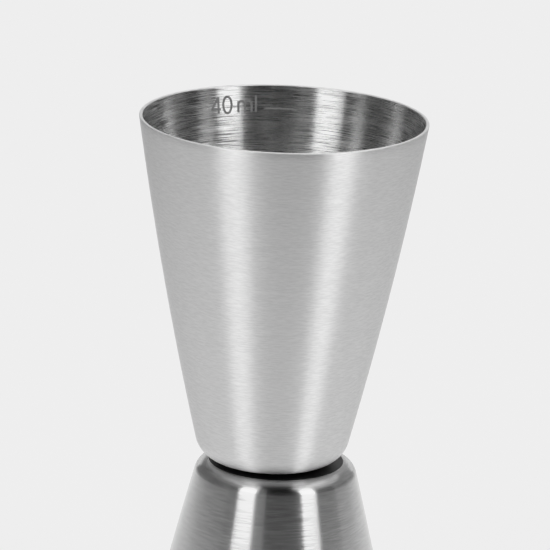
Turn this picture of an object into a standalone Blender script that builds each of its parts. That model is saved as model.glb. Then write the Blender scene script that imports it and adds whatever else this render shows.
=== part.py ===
"""Bar jigger: two drawn stainless-steel measuring cups, welded back to back by their bases.

The large cup stands mouth up on the small one, which stands mouth down. Units are metres, +Z is up,
and the origin lies under the middle of the large cup, on the surface that the jigger stands on.
"""

import math

import bmesh
import bpy

MM = 0.001

# Steel sheet, and the lips that are cut from it
SHEET = 0.5 * MM
LIP_ROUND = 0.15 * MM

# Large cup: 40 ml to its line. The foot is where the rounded corner of the base meets the wall.
LARGE_HEIGHT = 53.2 * MM
LARGE_LIP_RADIUS = 21.7 * MM
LARGE_BASE_FLAT = 7.7 * MM
LARGE_CORNER = 4.1 * MM
LARGE_FOOT_ANGLE = math.radians(13.65)

# Small cup: 20 ml to its line
SMALL_HEIGHT = 32.5 * MM
SMALL_LIP_RADIUS = 19.55 * MM
SMALL_BASE_FLAT = 10.0 * MM
SMALL_CORNER = 2.45 * MM
SMALL_FOOT_ANGLE = math.radians(14.3)

# Weld between the two bases. It holds the small cup a little off the large cup's axis, towards +X.
BASE_GAP = 0.3 * MM
AXIS_SHIFT = 0.7 * MM
WELDS = 3
WELD_CIRCLE = 4.4 * MM
NUGGET_RADIUS = 1.6 * MM
NUGGET_BITE = 0.2 * MM
NUGGET_EDGE = 0.08 * MM
NUGGET_CLEARANCE = 0.05 * MM

# Facets
ROUND_STEPS = 80
NUGGET_STEPS = 24
CORNER_POINTS = 5
WALL_POINTS = 6
LIP_POINTS = 2
ON_AXIS = 0.01 * MM


def arc(centre, radius, start, end, pieces):
    """Points of an arc in the (radius, height) plane, both ends included. Angles run from outward, upward."""
    turns = [start + (end - start) * i / pieces for i in range(pieces + 1)]
    return [(centre[0] + radius * math.cos(a), centre[1] + radius * math.sin(a)) for a in turns]


def wall(foot, foot_angle, lip):
    """A wall that leaves its foot at the foot angle from upright, and bends evenly to reach the lip.

    Returns a function that gives the wall's radius at a height.
    """
    rise = lip[1] - foot[1]
    bend = (lip[0] - foot[0] - math.tan(foot_angle) * rise) / rise**2
    return lambda height: foot[0] + math.tan(foot_angle) * (height - foot[1]) + bend * (height - foot[1]) ** 2


def lip_angle(foot, foot_angle, lip):
    """How far from upright a wall of that kind leans at its lip."""
    mean_slope = (lip[0] - foot[0]) / (lip[1] - foot[1])
    return math.atan(2 * mean_slope - math.tan(foot_angle))


def cup_profile(height, lip_radius, base_flat, corner, foot_angle):
    """Half section of a cup that stands on its base at height 0, mouth up, as (radius, height) points.

    It starts on the axis inside the base, climbs the inner wall, turns over the lip, and comes down the
    outer wall to the axis under the base.
    """
    corner_centre = (base_flat, corner)
    outer_corner = arc(corner_centre, corner, -foot_angle, -math.pi / 2, CORNER_POINTS)
    inner_corner = arc(corner_centre, corner - SHEET, -math.pi / 2, -foot_angle, CORNER_POINTS)
    outer_foot = outer_corner[0]
    inner_foot = inner_corner[-1]
    outer_lip = (lip_radius, height)
    lean = lip_angle(outer_foot, foot_angle, outer_lip)
    inner_lip = (lip_radius - SHEET / math.cos(lean), height)

    outer_radius = wall(outer_foot, foot_angle, outer_lip)
    inner_radius = wall(inner_foot, foot_angle, inner_lip)
    edge = height - LIP_ROUND
    steps = range(1, WALL_POINTS)
    inner_wall = [inner_foot[1] + (edge - inner_foot[1]) * i / WALL_POINTS for i in steps]
    outer_wall = [edge + (outer_foot[1] - edge) * i / WALL_POINTS for i in steps]
    inner_round = arc((inner_radius(edge) + LIP_ROUND, edge), LIP_ROUND, math.pi, math.pi / 2, LIP_POINTS)
    outer_round = arc((outer_radius(edge) - LIP_ROUND, edge), LIP_ROUND, math.pi / 2, 0, LIP_POINTS)

    return (
        [(0, SHEET)]
        + inner_corner
        + [(inner_radius(z), z) for z in inner_wall]
        + inner_round
        + outer_round
        + [(outer_radius(z), z) for z in outer_wall]
        + outer_corner
        + [(0, 0)]
    )


def nugget_profile():
    """Half section of a weld nugget that stands at height 0: a short disc with broken edges."""
    tall = BASE_GAP + 2 * NUGGET_BITE
    return [
        (0, tall),
        (NUGGET_RADIUS - NUGGET_EDGE, tall),
        (NUGGET_RADIUS, tall - NUGGET_EDGE),
        (NUGGET_RADIUS, NUGGET_EDGE),
        (NUGGET_RADIUS - NUGGET_EDGE, 0),
        (0, 0),
    ]


def steel(name, colour, roughness):
    material = bpy.data.materials.new(name)
    material.use_nodes = True
    shader = material.node_tree.nodes["Principled BSDF"]
    shader.inputs["Base Color"].default_value = (*colour, 1)
    shader.inputs["Metallic"].default_value = 1
    shader.inputs["Roughness"].default_value = roughness
    return material


def turned(name, profile, steps, material):
    """A solid turned about Z from an open half section that runs from the axis to the axis."""
    mesh = bpy.data.meshes.new(name)
    section = bmesh.new()
    corners = [section.verts.new((radius, 0, height)) for radius, height in profile]
    for one, other in zip(corners, corners[1:]):
        section.edges.new((one, other))
    section.to_mesh(mesh)
    section.free()
    mesh.materials.append(material)

    solid = bpy.data.objects.new(name, mesh)
    bpy.context.scene.collection.objects.link(solid)
    screw = solid.modifiers.new("turn", "SCREW")
    screw.axis = "Z"
    screw.angle = 2 * math.pi
    screw.steps = screw.render_steps = steps
    screw.use_smooth_shade = True
    screw.use_merge_vertices = True
    screw.merge_threshold = ON_AXIS
    return solid


def weld_places():
    """The middle of each weld, as (x, y) on a circle that is centred between the two cups' axes."""
    turns = [2 * math.pi * i / WELDS for i in range(WELDS)]
    return [(AXIS_SHIFT / 2 + WELD_CIRCLE * math.cos(a), WELD_CIRCLE * math.sin(a)) for a in turns]


def pocket_cutter(number, place):
    """The room that one nugget takes in both bases: its own shape, larger all round by the clearance."""
    bpy.ops.mesh.primitive_cylinder_add(
        vertices=NUGGET_STEPS,
        radius=NUGGET_RADIUS + NUGGET_CLEARANCE,
        depth=BASE_GAP + 2 * (NUGGET_BITE + NUGGET_CLEARANCE),
        location=(*place, SMALL_HEIGHT + BASE_GAP / 2),
    )
    cutter = bpy.context.object
    cutter.name = f"pocket_cutter_{number}"
    cutter.hide_render = True
    cutter.display_type = "WIRE"
    return cutter


def cut_pockets(cup, cutters):
    for cutter in cutters:
        cut = cup.modifiers.new(cutter.name, "BOOLEAN")
        cut.operation = "DIFFERENCE"
        cut.object = cutter


def build():
    for old in list(bpy.data.objects):
        bpy.data.objects.remove(old)

    satin_steel = steel("satin_steel", (0.66, 0.66, 0.66), 0.3)
    fused_steel = steel("fused_steel", (0.42, 0.42, 0.42), 0.55)

    large = cup_profile(LARGE_HEIGHT, LARGE_LIP_RADIUS, LARGE_BASE_FLAT, LARGE_CORNER, LARGE_FOOT_ANGLE)
    upper_cup = turned("upper_cup", large, ROUND_STEPS, satin_steel)
    upper_cup.location.z = SMALL_HEIGHT + BASE_GAP

    small = cup_profile(SMALL_HEIGHT, SMALL_LIP_RADIUS, SMALL_BASE_FLAT, SMALL_CORNER, SMALL_FOOT_ANGLE)
    upside_down = [(radius, SMALL_HEIGHT - height) for radius, height in reversed(small)]
    lower_cup = turned("lower_cup", upside_down, ROUND_STEPS, satin_steel)
    lower_cup.location.x = AXIS_SHIFT

    cutters = [pocket_cutter(number, place) for number, place in enumerate(weld_places(), 1)]
    cut_pockets(upper_cup, cutters)
    cut_pockets(lower_cup, cutters)

    for number, place in enumerate(weld_places(), 1):
        nugget = turned(f"weld_nugget_{number}", nugget_profile(), NUGGET_STEPS, fused_steel)
        nugget.location = (*place, SMALL_HEIGHT - NUGGET_BITE)


build()
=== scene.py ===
import math

import bpy
import numpy as np
from mathutils import Matrix, Vector


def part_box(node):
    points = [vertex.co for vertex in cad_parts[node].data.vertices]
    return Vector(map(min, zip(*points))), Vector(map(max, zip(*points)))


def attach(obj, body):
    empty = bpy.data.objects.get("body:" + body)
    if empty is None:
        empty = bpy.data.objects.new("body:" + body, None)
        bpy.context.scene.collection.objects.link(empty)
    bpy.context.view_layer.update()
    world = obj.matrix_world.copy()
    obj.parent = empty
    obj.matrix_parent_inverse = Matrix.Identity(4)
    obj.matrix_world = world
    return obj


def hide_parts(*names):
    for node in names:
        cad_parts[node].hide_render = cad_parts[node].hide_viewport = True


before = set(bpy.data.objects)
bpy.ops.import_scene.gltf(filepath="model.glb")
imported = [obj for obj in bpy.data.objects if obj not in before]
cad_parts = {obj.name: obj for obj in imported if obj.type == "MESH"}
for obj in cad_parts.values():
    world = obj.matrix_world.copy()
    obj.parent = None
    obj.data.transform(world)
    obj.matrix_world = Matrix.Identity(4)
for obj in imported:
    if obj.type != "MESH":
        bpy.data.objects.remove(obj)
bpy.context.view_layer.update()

mm = 0.001
upperLow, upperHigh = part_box("upper_cup")
lowerLow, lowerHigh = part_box("lower_cup")


def linear(hexColour):
    # sRGB hex to linear red, green, blue and a full alpha
    values = [int(hexColour[i:i + 2], 16) / 255 for i in (1, 3, 5)]
    return [v / 12.92 if v <= 0.04045 else ((v + 0.055) / 1.055) ** 2.4 for v in values] + [1.0]


def addNode(tree, kind, settings=None, **links):
    # a node with its settings; _0 is an input by number and From_Min one by name, and each takes a link or a
    # value of its own
    node = tree.nodes.new(kind)
    for name, value in (settings or {}).items():
        setattr(node, name, value)
    for name, value in links.items():
        socket = node.inputs[int(name[1:])] if name[0] == "_" else node.inputs[name.replace("_", " ")]
        if isinstance(value, bpy.types.NodeSocket):
            tree.links.new(value, socket)
        else:
            socket.default_value = value
    return node


def addPiece(name, points, faces, materials, smooth=True):
    # a mesh that keeps its points where they are, on an object at the origin
    mesh = bpy.data.meshes.new(name)
    mesh.from_pydata(points.tolist(), [], faces)
    mesh.polygons.foreach_set("use_smooth", np.full(len(faces), smooth))
    for material in materials:
        mesh.materials.append(material)
    piece = bpy.data.objects.new(name, mesh)
    bpy.context.scene.collection.objects.link(piece)
    return piece


camera = {
    "target": (-0.5 * mm, 0.0, 61.6 * mm),
    "distance": 666.0 * mm,
    "elevation": math.radians(15.76),
    "roll": math.radians(2.19),
    "lens": 289.25,
    "sensor": 36.0,
    "near": 0.01,  # metres
    "far": 20.0,
}


def placeCamera(size):
    # stands at target + distance x (0, -cos elevation, sin elevation), and rolls about its line of sight:
    # right = right x cos roll + up x sin roll
    back = Vector((0, -math.cos(size["elevation"]), math.sin(size["elevation"])))
    right = Vector((1, 0, 0))
    up = back.cross(right)
    rolledRight = right * math.cos(size["roll"]) + up * math.sin(size["roll"])
    rolledUp = up * math.cos(size["roll"]) - right * math.sin(size["roll"])
    place = Matrix((rolledRight, rolledUp, back)).transposed().to_4x4()
    place.translation = Vector(size["target"]) + back * size["distance"]
    lens = bpy.data.cameras.new("camera")
    lens.lens = size["lens"]
    lens.sensor_width = size["sensor"]
    lens.clip_start = size["near"]
    lens.clip_end = size["far"]
    seen = bpy.data.objects.new("camera", lens)
    seen.matrix_world = place
    bpy.context.scene.collection.objects.link(seen)
    bpy.context.scene.camera = seen


placeCamera(camera)
print("camera placed")


largeCup = {
    "sheet": 0.5 * mm,
    "lipRound": 0.15 * mm,  # both edges of the lip
    "height": 53.2 * mm,
    "lipRadius": 21.7 * mm,
    "baseFlat": 7.7 * mm,  # radius of the flat of the base
    "corner": 4.1 * mm,  # outside radius of the corner between base and wall
    "footAngle": math.radians(13.65),  # of the wall from upright, where it leaves the corner
    "paintedShadeFrom": math.radians(8),  # how far up the corner the painted shade of the base reaches
    "axisX": (upperLow.x + upperHigh.x) / 2,
    "base": upperLow.z,  # height of the outside of its base
    "up": 1,  # mouth up
}
smallCup = {
    "sheet": 0.5 * mm,
    "lipRound": 0.15 * mm,
    "height": 32.5 * mm,
    "lipRadius": 19.55 * mm,
    "baseFlat": 10.0 * mm,
    "corner": 2.45 * mm,
    "footAngle": math.radians(14.3),
    "paintedShadeFrom": math.radians(8),
    "axisX": (lowerLow.x + lowerHigh.x) / 2,
    "base": lowerHigh.z,
    "up": -1,  # mouth down
}
steps = {"around": 288, "floor": 14, "innerCorner": 18, "wall": 44, "lip": 7, "corner": 15, "dull": 6}
insideZone, lipZone, outsideZone, baseZone = range(4)  # each has its own steel


def wallRadius(cup, foot, lip):
    # the wall leaves its foot at the foot angle and bends evenly to its lip: radius is a quadratic in height
    rise = lip[1] - foot[1]
    slope = math.tan(cup["footAngle"])
    bend = (lip[0] - foot[0] - slope * rise) / rise ** 2
    return lambda h: foot[0] + slope * (h - foot[1]) + bend * (h - foot[1]) ** 2


def cupWalls(cup):
    # the inner and outer feet, where the corner's arcs end, as (radius, height), and the two walls' radii
    a = cup["footAngle"]
    foot = lambda r: (cup["baseFlat"] + r * math.cos(a), cup["corner"] - r * math.sin(a))
    outerFoot = foot(cup["corner"])
    innerFoot = foot(cup["corner"] - cup["sheet"])
    outerLip = (cup["lipRadius"], cup["height"])
    lean = math.atan(2 * (outerLip[0] - outerFoot[0]) / (outerLip[1] - outerFoot[1]) - math.tan(a))
    innerLip = (cup["lipRadius"] - cup["sheet"] / math.cos(lean), cup["height"])
    return innerFoot, outerFoot, wallRadius(cup, innerFoot, innerLip), wallRadius(cup, outerFoot, outerLip)


def arc(centre, radius, start, end, count):
    # circle about centre in the (radius, height) plane: cosine outward, sine upward
    t = np.linspace(start, end, count)
    return np.stack([centre[0] + radius * np.cos(t), centre[1] + radius * np.sin(t)], 1)


def cupSection(cup):
    # half section, mouth up, as (radius, height): out from the axis along the floor, up the inner wall, over
    # the lip as two quarter circles, down the outer wall, and in under the base; and each point's zone
    a = cup["footAngle"]
    innerFoot, outerFoot, innerRadius, outerRadius = cupWalls(cup)
    centre = (cup["baseFlat"], cup["corner"])
    edge = cup["height"] - cup["lipRound"]
    half = math.pi / 2
    innerFlat = np.linspace(0, cup["baseFlat"], steps["floor"])[:-1]
    innerFloor = np.stack([innerFlat, np.full(len(innerFlat), cup["sheet"])], 1)
    innerCorner = arc(centre, cup["corner"] - cup["sheet"], -half, -a, steps["innerCorner"])
    innerH = np.linspace(innerFoot[1], edge, steps["wall"])[1:-1]
    innerWall = np.stack([innerRadius(innerH), innerH], 1)
    lipRound = cup["lipRound"]
    innerLip = arc((innerRadius(edge) + lipRound, edge), lipRound, math.pi, half, steps["lip"])
    outerLip = arc((outerRadius(edge) - lipRound, edge), lipRound, half, 0, steps["lip"])
    outerH = np.linspace(edge, outerFoot[1], steps["wall"])[1:-1]
    outerWall = np.stack([outerRadius(outerH), outerH], 1)
    outerCorner = arc(centre, cup["corner"], -a, cup["paintedShadeFrom"] - half, steps["corner"])
    # the foot of the outer corner and the floor under the base carry the dark steel: painted shade for the
    # gap at the neck
    paintedShadeCorner = arc(centre, cup["corner"], cup["paintedShadeFrom"] - half, -half, steps["dull"])[1:]
    outerFlat = np.linspace(cup["baseFlat"], 0, steps["floor"])[1:]
    outerFloor = np.stack([outerFlat, np.zeros(len(outerFlat))], 1)
    runs = [(innerFloor, insideZone), (innerCorner, insideZone), (innerWall, insideZone), (innerLip, lipZone),
            (outerLip, lipZone), (outerWall, outsideZone), (outerCorner, outsideZone), (paintedShadeCorner, baseZone),
            (outerFloor, baseZone)]
    section = np.concatenate([run for run, zone in runs])
    return section, np.concatenate([np.full(len(run), zone) for run, zone in runs])


def buildCup(name, cup, materials):
    # the section turned about the axis: x = r cos t, y = r sin t; the first and last points are single poles,
    # and alongWall is the way along the section from the inner pole
    section, zone = cupSection(cup)
    around = steps["around"]
    along = np.concatenate([[0], np.cumsum(np.hypot(*np.diff(section, axis=0).T))])
    t = np.arange(around) * 2 * math.pi / around
    ring = section[1:-1]
    x = cup["axisX"] + ring[:, :1] * np.cos(t)
    y = ring[:, :1] * np.sin(t)
    z = np.repeat(cup["base"] + cup["up"] * ring[:, 1:], around, 1)
    poles = [[cup["axisX"], 0, cup["base"] + cup["up"] * section[i, 1]] for i in (0, -1)]
    points = np.concatenate([np.stack([x, y, z], 2).reshape(-1, 3), poles])
    rows = len(ring)
    first, last = rows * around, rows * around + 1

    j = np.arange(around)
    k = (j + 1) % around
    low = np.arange(rows - 1)[:, None] * around
    high = low + around
    quads = np.stack([low + j, low + k, high + k, high + j], 2).reshape(-1, 4)
    inCap = np.stack([np.full(around, first), k, j], 1)
    outCap = np.stack([np.full(around, last), high[-1] + j, high[-1] + k], 1)
    faces = quads.tolist() + inCap.tolist() + outCap.tolist()
    if cup["up"] > 0:
        faces = [f[::-1] for f in faces]

    piece = addPiece(name, points, faces, materials)
    before, after = zone[1:-2], zone[2:-1]
    rowZone = np.where(before == lipZone, after, before)  # a row between wall and lip is the wall's
    capZones = [np.full(around, insideZone), np.full(around, baseZone)]
    faceZone = np.concatenate([np.repeat(rowZone, around)] + capZones)
    piece.data.polygons.foreach_set("material_index", faceZone.astype(np.int32))
    lengths = np.concatenate([np.repeat(along[1:-1], around), [along[0], along[-1]]])
    attribute = piece.data.attributes.new("alongWall", "FLOAT", "POINT")
    attribute.data.foreach_set("value", lengths.astype(np.float32))
    return piece


scratchSpan = (0.36, 0.64)  # the noise between these becomes 0 to 1
blotchStrength = 0.5


def workedSteel(look, axisX):
    # stainless steel worked round its axis. Scratches are noise at (x / length, y / length, along / width)
    # and run round the cup, which then mirrors sharply sideways and smears up and down. Each one leans its
    # normal by lean x the direction round the axis, which frays the upright edges of what it mirrors.
    material = bpy.data.materials.new(look["name"])
    material.use_nodes = True
    tree = material.node_tree
    shader = tree.nodes["Principled BSDF"]
    shader.inputs["Metallic"].default_value = 1.0
    shader.inputs["Anisotropic"].default_value = look["anisotropic"]
    shader.inputs["Anisotropic Rotation"].default_value = 0.25
    place = addNode(tree, "ShaderNodeTexCoord").outputs["Object"]
    fromAxis = addNode(tree, "ShaderNodeVectorMath", {"operation": "SUBTRACT"}, _0=place, _1=(axisX, 0, 0))
    split = addNode(tree, "ShaderNodeSeparateXYZ", Vector=fromAxis.outputs[0])
    along = addNode(tree, "ShaderNodeAttribute", {"attribute_name": "alongWall"}).outputs["Fac"]

    def scratches(length, width, detail):
        ways = ((split.outputs["X"], length), (split.outputs["Y"], length), (along, width))
        scaled = [addNode(tree, "ShaderNodeMath", {"operation": "MULTIPLY"}, _0=way, _1=1 / size).outputs[0]
                  for way, size in ways]
        grain = addNode(tree, "ShaderNodeCombineXYZ", X=scaled[0], Y=scaled[1], Z=scaled[2])
        noise = addNode(tree, "ShaderNodeTexNoise", Vector=grain.outputs[0], Scale=1.0, Detail=detail,
                        Roughness=0.6)
        return noise.outputs["Fac"]

    line = scratches(look["scratchLength"], look["scratchWidth"], 3.0)
    blotch = scratches(look["blotch"], look["blotch"] / 4, 1.0)
    sharp = addNode(tree, "ShaderNodeMapRange", Value=line, From_Min=scratchSpan[0], From_Max=scratchSpan[1])
    sharp = sharp.outputs[0]
    tone = addNode(tree, "ShaderNodeMath", {"operation": "MULTIPLY_ADD"}, _0=blotch, _1=blotchStrength,
                   _2=-blotchStrength / 2).outputs[0]
    tone = addNode(tree, "ShaderNodeMath", {"operation": "ADD", "use_clamp": True}, _0=sharp,
                   _1=tone).outputs[0]
    colour = addNode(tree, "ShaderNodeMix", {"data_type": "RGBA"}, _0=tone, _6=linear(look["dark"]),
                     _7=linear(look["light"]))
    rough = addNode(tree, "ShaderNodeMapRange", Value=tone, To_Min=look["roughness"] - look["uneven"],
                    To_Max=look["roughness"] + look["uneven"])

    direction = addNode(tree, "ShaderNodeVectorMath", {"operation": "CROSS_PRODUCT"}, _0=(0, 0, 1),
                        _1=fromAxis.outputs[0]).outputs[0]
    direction = addNode(tree, "ShaderNodeVectorMath", {"operation": "NORMALIZE"}, _0=direction).outputs[0]
    lean = addNode(tree, "ShaderNodeMath", {"operation": "MULTIPLY_ADD"}, _0=sharp, _1=look["lean"],
                   _2=-look["lean"] / 2).outputs[0]
    sideways = addNode(tree, "ShaderNodeVectorMath", {"operation": "SCALE"}, _0=direction,
                       Scale=lean).outputs[0]
    normal = addNode(tree, "ShaderNodeNewGeometry").outputs["Normal"]
    normal = addNode(tree, "ShaderNodeVectorMath", {"operation": "ADD"}, _0=normal, _1=sideways).outputs[0]
    normal = addNode(tree, "ShaderNodeVectorMath", {"operation": "NORMALIZE"}, _0=normal).outputs[0]
    bump = addNode(tree, "ShaderNodeBump", Height=line, Strength=1.0, Distance=look["scratchDepth"],
                   Normal=normal)
    tangent = addNode(tree, "ShaderNodeTangent", {"direction_type": "RADIAL", "axis": "Z"})
    tree.links.new(colour.outputs[2], shader.inputs["Base Color"])
    tree.links.new(rough.outputs[0], shader.inputs["Roughness"])
    tree.links.new(bump.outputs[0], shader.inputs["Normal"])
    tree.links.new(tangent.outputs[0], shader.inputs["Tangent"])
    return material


# scratch widths are several grit lines wide, because single lines of about 0.05 mm are too fine to show

# stainless steel brushed to a satin: pale, with the lights as wide soft bands
satinBrushed = {
    "name": "satinBrushedSteel", "dark": "#d1d1d1", "light": "#e2e2e2",
    "roughness": 0.42, "uneven": 0.02, "anisotropic": 0.95, "lean": 0.01,
    "scratchLength": 1.3 * mm, "scratchWidth": 0.16 * mm, "scratchDepth": 0.002 * mm, "blotch": 6.0 * mm,
}
# stainless steel brushed finer: a darker metal where the lights are bright strips with crisp sides
brightBrushed = {
    "name": "brightBrushedSteel", "dark": "#b6b6b6", "light": "#c6c6c6",
    "roughness": 0.225, "uneven": 0.012, "anisotropic": 0.93, "lean": 0.014,
    "scratchLength": 3.0 * mm, "scratchWidth": 0.12 * mm, "scratchDepth": 0.0005 * mm, "blotch": 8.0 * mm,
}
# stainless steel turned inside: fine rings, dark and light, across strips that keep their edges
turnedInside = {
    "name": "turnedSteel", "dark": "#888888", "light": "#ffffff",
    "roughness": 0.265, "uneven": 0.09, "anisotropic": 1.0, "lean": 0.026,
    "scratchLength": 5.0 * mm, "scratchWidth": 0.095 * mm, "scratchDepth": 0.002 * mm, "blotch": 8.0 * mm,
}
# the cut edge of the sheet with its burr rubbed off: a pale even line round the mouth
deburredLip = {
    "name": "deburredSteel", "dark": "#e6e6e6", "light": "#f6f6f6",
    "roughness": 0.5, "uneven": 0.03, "anisotropic": 0.0, "lean": 0.02,
    "scratchLength": 2.0 * mm, "scratchWidth": 0.1 * mm, "scratchDepth": 0.001 * mm, "blotch": 4.0 * mm,
}
# the outside of the base and the foot of its corner: dull steel painted dark, a painted shade that makes the
# gap at the neck black
paintedShadeBase = {
    "name": "paintedShadeSteel", "dark": "#343434", "light": "#464646",
    "roughness": 0.45, "uneven": 0.05, "anisotropic": 0.0, "lean": 0.0,
    "scratchLength": 1.0 * mm, "scratchWidth": 1.0 * mm, "scratchDepth": 0.004 * mm, "blotch": 4.0 * mm,
}

for name, cup, node, outer in (("large_cup_shell", largeCup, "upper_cup", satinBrushed),
                               ("small_cup_shell", smallCup, "lower_cup", brightBrushed)):
    looks = (turnedInside, deburredLip, outer, paintedShadeBase)  # in the order of the zones
    piece = buildCup(name, cup, [workedSteel(look, cup["axisX"]) for look in looks])
    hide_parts(node)
    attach(piece, "root")
print("cups built")


speckleSpan = (0.35, 0.65)  # the noise between these becomes 0 to 1


def mattSteel(look):
    # steel with no polish and no direction: noise at place / speckle mixes its two greys and roughens it
    material = bpy.data.materials.new(look["name"])
    material.use_nodes = True
    tree = material.node_tree
    shader = tree.nodes["Principled BSDF"]
    shader.inputs["Metallic"].default_value = look["metallic"]
    place = addNode(tree, "ShaderNodeTexCoord").outputs["Object"]
    speckle = addNode(tree, "ShaderNodeTexNoise", Vector=place, Scale=1 / look["speckle"], Detail=3.0)
    tone = addNode(tree, "ShaderNodeMapRange", Value=speckle.outputs["Fac"], From_Min=speckleSpan[0],
                   From_Max=speckleSpan[1])
    colour = addNode(tree, "ShaderNodeMix", {"data_type": "RGBA"}, _0=tone.outputs[0],
                     _6=linear(look["dark"]), _7=linear(look["light"]))
    rough = addNode(tree, "ShaderNodeMapRange", Value=tone.outputs[0],
                    To_Min=look["roughness"] - look["uneven"], To_Max=look["roughness"] + look["uneven"])
    bump = addNode(tree, "ShaderNodeBump", Height=speckle.outputs["Fac"], Strength=1.0,
                   Distance=look["depth"])
    tree.links.new(colour.outputs[2], shader.inputs["Base Color"])
    tree.links.new(rough.outputs[0], shader.inputs["Roughness"])
    tree.links.new(bump.outputs[0], shader.inputs["Normal"])
    return material


# steel etched by acid: a flat grey that stays the same grey in light and in shade
etched = {
    "name": "etchedSteel", "dark": "#8a8a8a", "light": "#a6a6a6", "metallic": 0.1,
    "roughness": 0.6, "uneven": 0.08, "speckle": 0.12 * mm, "depth": 0.002 * mm,
}
# steel that melted and set again in the weld: brownish grey and slightly lumpy
fused = {
    "name": "fusedSteel", "dark": "#5a5a5a", "light": "#8e8a86", "metallic": 1.0,
    "roughness": 0.55, "uneven": 0.12, "speckle": 0.25 * mm, "depth": 0.01 * mm,
}
nuggetSteel = mattSteel(fused)
for node in ("weld_nugget_1", "weld_nugget_2", "weld_nugget_3"):
    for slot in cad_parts[node].material_slots:
        slot.link = "OBJECT"
        slot.material = nuggetSteel
print("weld nuggets finished")


fillMark = {
    "height": 2.85 * mm,  # of the figures
    "top": 1.45 * mm,  # of the figures, below the lip
    "turn": math.radians(-22.5),  # of their middle, from +Y towards +X
    "stroke": 0.36 * mm,
    "line": 3.6 * mm,  # of the fill line, below the lip
    "lineFrom": math.radians(-8.7),
    "lineTo": math.radians(11.9),
    "lineWidth": 0.25 * mm,
    "proud": 0.02 * mm,
    "sunk": 0.03 * mm,
    "lineSteps": 41,
}


def straight(*corners):
    # a path through the corners, a + t (b - a) from each to the next, with a point every tenth of a height
    runs = [np.linspace(a, b, max(2, int(math.dist(a, b) * 10) + 1)) for a, b in zip(corners, corners[1:])]
    return np.concatenate([runs[0]] + [run[1:] for run in runs[1:]])


def archPath(start, width, foot, spring, rise):
    # half an ellipse from the left leg's top, u = middle + half width cos t and v = spring + rise sin t, and
    # then straight down to the foot on the far side
    t = np.linspace(math.pi, 0, 13)
    top = np.stack([start + width / 2 + width / 2 * np.cos(t), spring + rise * np.sin(t)], 1)
    return np.concatenate([top, straight((start + width, spring), (start + width, foot))[1:]])


def ovalPath(start, width, low, high):
    # u = middle + half width cos t, v = middle + half height sin t, once round
    t = np.linspace(0, 2 * math.pi, 33)
    return np.stack([start + width / 2 * (1 + np.cos(t)), (low + high) / 2 + (high - low) / 2 * np.sin(t)], 1)


def figures(stroke):
    # the middle lines of the strokes of 40 ml, in heights of a figure, and the width of the whole: a figure's
    # strokes stand at its left edge plus its own offsets
    edge = stroke / 2
    four, nought, em, el = 0.0, 0.72, 1.62, 2.62
    stem, bar, overhang = 0.42, 0.3, 0.56
    archWidth, spring, rise = 0.38, 0.46, 0.2
    paths = [straight((four + stem, edge), (four + stem, 1 - edge)),
             straight((four + stem, 1 - edge), (four, bar), (four + overhang, bar)),
             ovalPath(nought, 0.5, edge, 1 - edge),
             straight((em, edge), (em, spring + rise)),
             archPath(em, archWidth, edge, spring, rise),
             archPath(em + archWidth, archWidth, edge, spring, rise),
             straight((el, edge), (el, 1 - edge))]
    return paths, el


def slab(path, stroke):
    # a flat bar along the path, whose corners are path + and - half a stroke to its left: (u, v, side), with
    # side 1 on its face and 0 at its back
    along = np.gradient(path, axis=0)
    if np.allclose(path[0], path[-1]):
        along[0] = along[-1] = path[1] - path[-2]
    along /= np.linalg.norm(along, axis=1, keepdims=True)
    left = np.stack([-along[:, 1], along[:, 0]], 1) * stroke / 2
    corners = [(path + left, 1), (path - left, 1), (path - left, 0), (path + left, 0)]
    return np.stack([np.column_stack([uv, np.full(len(uv), side)]) for uv, side in corners], 1)


def slabFaces(rings, first):
    # quads round the bar from ring to ring, and a cap on each end
    i = first + 4 * np.arange(rings - 1)[:, None]
    k = np.arange(4)
    n = (k + 1) % 4
    sides = np.stack([i + k, i + n, i + 4 + n, i + 4 + k], 2).reshape(-1, 4).tolist()
    last = first + 4 * (rings - 1)
    return sides + [[first + 3, first + 2, first + 1, first], [last, last + 1, last + 2, last + 3]]


def buildMark(name, cup, mark, material):
    # each bar is wrapped on the inner wall: turn = u / radius, height = cup height - drop, and side takes it
    # from sunk in the wall to proud of it; x = r sin turn, y = r cos turn
    innerRadius = cupWalls(cup)[2]
    size = mark["height"]
    paths, width = figures(mark["stroke"] / size)
    bars = []
    for path in paths:
        bar = slab(path, mark["stroke"] / size)
        turn = mark["turn"] + (bar[..., 0] - width / 2) * size / innerRadius(cup["height"])
        drop = mark["top"] + (1 - bar[..., 1]) * size
        bars.append((turn, drop, bar[..., 2]))
    sweep = np.linspace(mark["lineFrom"], mark["lineTo"], mark["lineSteps"])
    bar = slab(np.stack([sweep * cup["lipRadius"], np.zeros(len(sweep))], 1), mark["lineWidth"])
    bars.append((bar[..., 0] / cup["lipRadius"], mark["line"] - bar[..., 1], bar[..., 2]))
    points, faces, count = [], [], 0
    for turn, drop, side in bars:
        h = cup["height"] - drop
        r = innerRadius(h) + mark["sunk"] - side * (mark["sunk"] + mark["proud"])
        x = cup["axisX"] + r * np.sin(turn)
        y = r * np.cos(turn)
        points.append(np.stack([x, y, cup["base"] + cup["up"] * h], -1).reshape(-1, 3))
        faces += slabFaces(len(turn), count)
        count += turn.size
    return addPiece(name, np.concatenate(points), faces, [material], smooth=False)


mark = buildMark("fill_mark", largeCup, fillMark, mattSteel(etched))
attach(mark, "root")
print("fill mark built")


floor = {
    "half": 3.0,  # metres
    "paper": "#9a9a9a",
    "glow": 0.66,  # what the camera sees of the paper's own light
    "glowFront": 0.88,  # what the steel mirrors of it on the camera's side
    "glowBack": 0.72,
    "fadeFrom": 0.24,
    "fadeTo": 0.55,
    "shadeFrom": 0.19,  # the camera's side is shaded from here outward, over shadeHalf either side
    "shadeTo": 0.27,
    "shadeHalf": math.radians(33),
    "shadeSoft": 0.25,  # the shade's edge, as a part of shadeHalf
}


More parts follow.
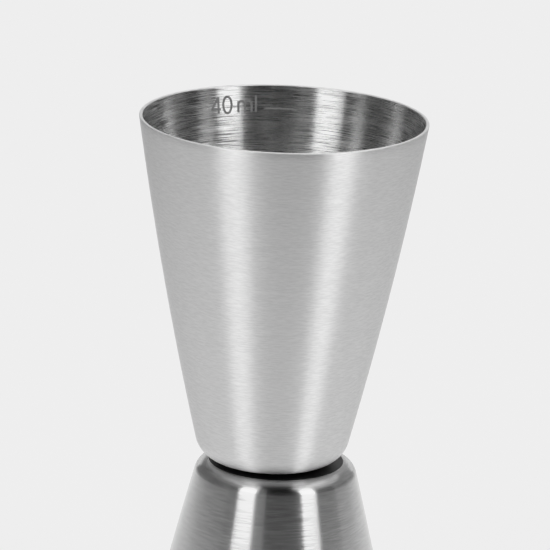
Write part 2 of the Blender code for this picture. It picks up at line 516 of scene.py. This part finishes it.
def addFloor(size):
    # white paper that glows as a lit sweep does: even to look at. To the steel it glows by fade x level x
    # clear, where fade falls with distance, level goes from the front's to the back's, and clear is the part
    # out of the shade in front, which gives the steel its darker middle. Seen from below it isn't there.
    paper = bpy.data.materials.new("whitePaper")
    paper.use_nodes = True
    tree = paper.node_tree
    shader = tree.nodes["Principled BSDF"]
    shader.inputs["Base Color"].default_value = linear(size["paper"])
    shader.inputs["Roughness"].default_value = 0.9
    shader.inputs["Specular IOR Level"].default_value = 0.0
    shader.inputs["Emission Color"].default_value = (1, 1, 1, 1)
    place = addNode(tree, "ShaderNodeTexCoord").outputs["Object"]
    reach = addNode(tree, "ShaderNodeVectorMath", {"operation": "LENGTH"}, _0=place).outputs["Value"]
    towards = addNode(tree, "ShaderNodeVectorMath", {"operation": "NORMALIZE"}, _0=place).outputs[0]
    towards = addNode(tree, "ShaderNodeSeparateXYZ", Vector=towards).outputs["Y"]
    fade = addNode(tree, "ShaderNodeMapRange", {"interpolation_type": "SMOOTHSTEP"}, Value=reach,
                   From_Min=size["fadeFrom"], From_Max=size["fadeTo"], To_Min=1.0, To_Max=0.0)
    softer, harder = 1 + size["shadeSoft"], 1 - size["shadeSoft"]
    level = addNode(tree, "ShaderNodeMapRange", {"interpolation_type": "SMOOTHSTEP"}, Value=towards,
                    From_Min=0.0, From_Max=0.9, To_Min=size["glowFront"], To_Max=size["glowBack"])
    fade = addNode(tree, "ShaderNodeMath", {"operation": "MULTIPLY"}, _0=fade.outputs[0], _1=level.outputs[0])
    out = addNode(tree, "ShaderNodeMapRange", {"interpolation_type": "SMOOTHSTEP"}, Value=reach,
                  From_Min=size["shadeFrom"], From_Max=size["shadeTo"])
    front = addNode(tree, "ShaderNodeMapRange", {"interpolation_type": "SMOOTHSTEP"}, Value=towards,
                    From_Min=-math.cos(size["shadeHalf"] * softer),
                    From_Max=-math.cos(size["shadeHalf"] * harder))
    shade = addNode(tree, "ShaderNodeMath", {"operation": "MULTIPLY"}, _0=out.outputs[0], _1=front.outputs[0])
    clear = addNode(tree, "ShaderNodeMath", {"operation": "SUBTRACT"}, _0=1.0, _1=shade.outputs[0])
    mirrored = addNode(tree, "ShaderNodeMath", {"operation": "MULTIPLY"}, _0=fade.outputs[0],
                       _1=clear.outputs[0])
    direct = addNode(tree, "ShaderNodeLightPath").outputs["Is Camera Ray"]
    glow = addNode(tree, "ShaderNodeMix", {"data_type": "FLOAT"}, _0=direct, _2=mirrored.outputs[0],
                   _3=size["glow"])
    tree.links.new(glow.outputs[0], shader.inputs["Emission Strength"])
    under = addNode(tree, "ShaderNodeNewGeometry").outputs["Backfacing"]
    clearUnder = addNode(tree, "ShaderNodeMixShader", _0=under, _1=shader.outputs[0],
                         _2=addNode(tree, "ShaderNodeBsdfTransparent").outputs[0])
    tree.links.new(clearUnder.outputs[0], tree.nodes["Material Output"].inputs["Surface"])
    half = size["half"]
    corners = np.array([(-half, -half, 0), (half, -half, 0), (half, half, 0), (-half, half, 0)])
    addPiece("floor", corners, [(0, 1, 2, 3)], [paper])


def addPanel(name, place, turn, width, height, radiance):
    # a rectangle of light that shines along its own -Z, with power = pi x radiance x area
    light = bpy.data.lights.new(name, "AREA")
    light.shape = "RECTANGLE"
    light.size = width
    light.size_y = height
    light.energy = radiance * math.pi * width * height
    panel = bpy.data.objects.new(name, light)
    panel.matrix_world = Matrix.Translation(place) @ turn
    panel.visible_camera = False
    bpy.context.scene.collection.objects.link(panel)


def addUpright(name, start, end, distance, foot, head, radiance):
    # faces the jigger from distance x (sin a, -cos a, 0), where a is the middle azimuth, from the camera's
    # side towards +X; width = 2 x distance x tan(half the angle it fills)
    a = math.radians((start + end) / 2)
    outward = Vector((math.sin(a), -math.cos(a), 0))
    width = 2 * distance * math.tan(math.radians((end - start) / 2))
    place = outward * distance + Vector((0, 0, (foot + head) / 2))
    turn = outward.to_track_quat("Z", "Y").to_matrix().to_4x4()
    addPanel(name, place, turn, width, head - foot, radiance)


def addOverhead(name, x0, x1, y0, y1, ceiling, radiance):
    # faces straight down over the rectangle from (x0, y0) to (x1, y1)
    place = Vector(((x0 + x1) / 2, (y0 + y1) / 2, ceiling))
    addPanel(name, place, Matrix.Identity(4), x1 - x0, y1 - y0, radiance)


# the 28 levels began as a least-squares fit of the lights to the wanted tones, and 16 were then set one by
# one
studio = {
    "distance": 0.8,  # metres from the jigger's axis to every upright panel
    "ceiling": 1.6,
    # name, from azimuth, to azimuth in degrees, foot, head in metres, radiance
    "panels": [
        ("softboxLeftFoot", -51, -27, 0.0, 0.22, 1.1),
        ("softboxLeft", -51, -27, 0.22, 0.72, 3.4),
        ("softboxLeftHead", -51, -27, 0.72, 1.6, 1.1),
        ("softboxRightFoot", 38, 60, 0.0, 0.22, 1.1),
        ("softboxRight", 38, 60, 0.22, 0.72, 3.5),
        ("softboxRightHead", 38, 60, 0.72, 1.6, 0.9),
        ("spillLeft", -27, -12, 0.0, 1.0, 0.22),
        ("besideLeft", -66, -51, 0.0, 1.0, 0.1),
        ("besideRight", 60, 92, 0.0, 0.6, 0.1),
        ("wallRight", 92, 121, 0.0, 0.6, 0.25),
        ("wallRightBack", 121, 150, 0.0, 0.6, 0.35),
        ("highRight", 60, 90, 0.6, 1.6, 0.75),
        ("highRightSide", 90, 120, 0.6, 1.6, 0.75),
        ("highRightBack", 120, 150, 0.6, 1.6, 0.75),
        ("backdropRight", 150, 180, 0.0, 0.24, 0.9),
        ("backdropLeft", 180, 210, 0.0, 0.24, 0.9),
        ("wallBackRight", 150, 180, 0.24, 0.6, 0.45),
        ("wallBackLeft", 180, 210, 0.24, 0.6, 0.25),
        ("highBackRight", 150, 180, 0.6, 1.6, 0.95),
        ("highBackLeft", 180, 210, 0.6, 1.6, 0.95),
        ("wallLeftBack", -150, -108, 0.0, 0.6, 0.2),
        ("wallLeft", -108, -66, 0.0, 0.6, 0.15),
        ("highLeftBack", -150, -118, 0.6, 1.6, 0.3),
        ("highLeftSide", -118, -84, 0.6, 1.6, 0.3),
        ("highLeft", -84, -51, 0.6, 1.6, 0.3),
    ],
    # name, from x, to x, from y, to y in metres, radiance
    "overheads": [
        ("overheadBack", -0.5, 0.5, 0.0, 0.8, 1.9),
        ("overheadLeft", -1.2, -0.5, -0.8, 0.8, 0.55),
        ("overheadRight", 0.5, 1.2, -0.8, 0.8, 0.55),
    ],
}

addFloor(floor)
for name, start, end, foot, head, radiance in studio["panels"]:
    addUpright(name, start, end, studio["distance"], foot, head, radiance)
for name, x0, x1, y0, y1, radiance in studio["overheads"]:
    addOverhead(name, x0, x1, y0, y1, studio["ceiling"], radiance)


def addWorld():
    # pale to look at beyond the floor, and dark to everything the steel mirrors
    world = bpy.data.worlds.new("studio")
    bpy.context.scene.world = world
    world.use_nodes = True
    tree = world.node_tree
    direct = addNode(tree, "ShaderNodeLightPath").outputs["Is Camera Ray"]
    tree.links.new(direct, tree.nodes["Background"].inputs["Strength"])
    tree.nodes["Background"].inputs["Color"].default_value = linear("#efefef")


addWorld()


viewCurve = [(0.85, 0.85), (1.3, 0.92), (3.0, 0.97)]  # light in, light shown


def softenHighlights(bends):
    # the view's own curve, in straight runs through the bends: unchanged up to the first, then flatter
    view = bpy.context.scene.view_settings
    view.view_transform = "Standard"
    view.use_curve_mapping = True
    mapping = view.curve_mapping
    mapping.use_clip = False
    mapping.clip_max_x = bends[-1][0]
    curve = mapping.curves[3]
    curve.points[1].location = bends[-1]
    for place in bends[:-1]:
        curve.points.new(*place)
    for point in curve.points:
        point.handle_type = "VECTOR"
    mapping.update()


softenHighlights(viewCurve)
print("studio lit")
